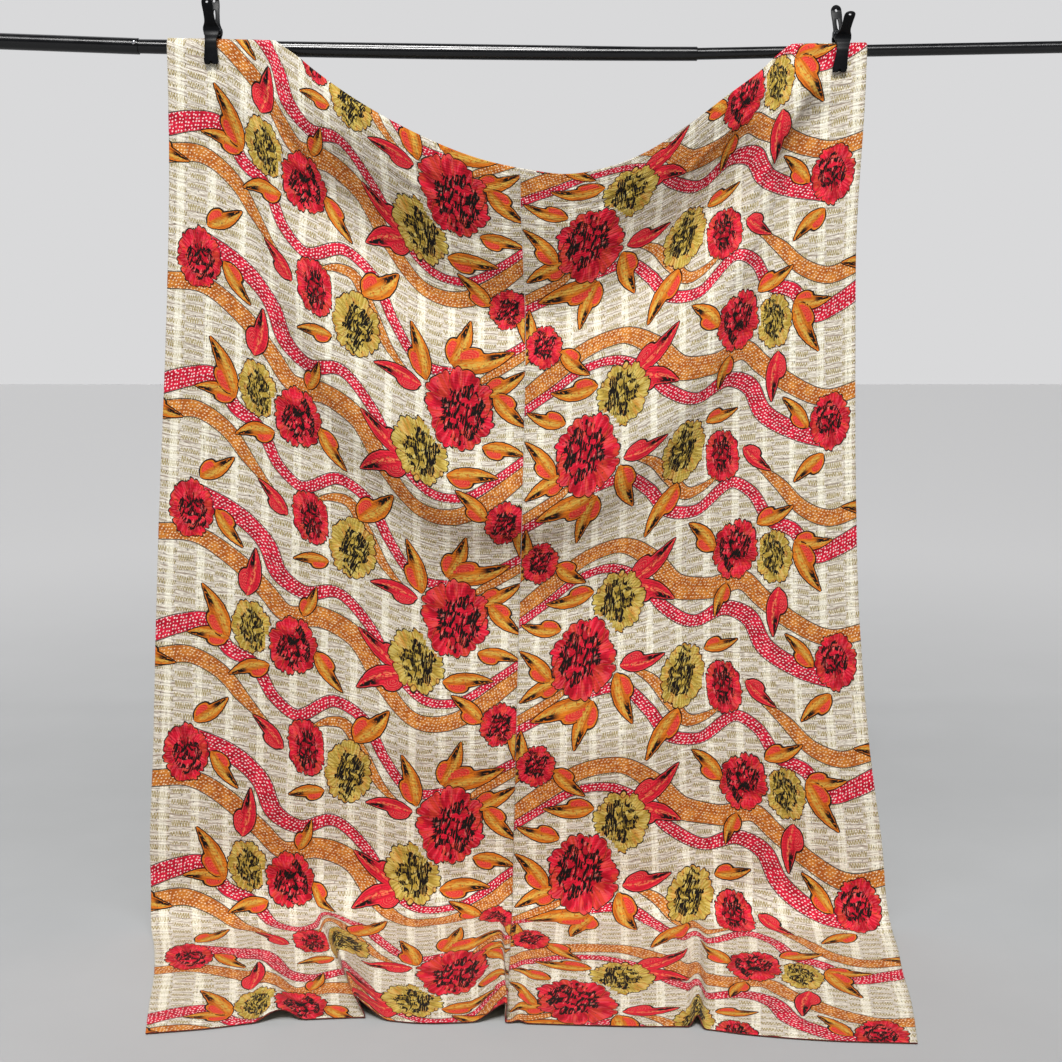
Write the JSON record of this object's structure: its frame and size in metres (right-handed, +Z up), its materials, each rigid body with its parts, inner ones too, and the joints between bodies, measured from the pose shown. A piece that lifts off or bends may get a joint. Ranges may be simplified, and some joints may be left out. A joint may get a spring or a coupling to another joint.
{
  "type": "kantha quilt on a rod",
  "caption": "Printed and stitched quilt of joined panels, clipped at its corners over a black rod, sagging between them, with its lower end spread on the floor.",
  "frame": {"origin": "on the floor, under the middle of the whole object's box", "axes": "+X along the rod to the viewer's right, +Y to the back, +Z up; the quilt's face looks to -Y"},
  "size_m": [2.16, 0.6236, 1.7998],
  "materials": {
    "printed_cotton_left": "floral printed cotton, running-stitch quilted",
    "printed_cotton_right": "floral printed cotton, running-stitch quilted",
    "rod_black_left": "satin black",
    "rod_black_middle": "satin black",
    "rod_black_right": "satin black",
    "plug_left": "black",
    "plug_right": "black",
    "button": "bright",
    "clip_plastic": "black",
    "clip_pad": "black",
    "clip_barrel": "dark"
  },
  "bodies": {
    "root": {"quilt_panel_left": "printed_cotton_left", "quilt_panel_right": "printed_cotton_right", "rod_left": "rod_black_left", "rod_middle": "rod_black_middle", "rod_right": "rod_black_right", "rod_plug_left": "plug_left", "rod_plug_right": "plug_right", "rod_button": "button", "clip_left_arm_front": "clip_plastic", "clip_left_arm_rear": "clip_plastic", "clip_left_pad_front": "clip_pad", "clip_left_pad_rear": "clip_pad", "clip_left_barrel": "clip_barrel", "clip_right_arm_front": "clip_plastic", "clip_right_arm_rear": "clip_plastic", "clip_right_pad_front": "clip_pad", "clip_right_pad_rear": "clip_pad", "clip_right_barrel": "clip_barrel"}
  },
  "joints": []
}
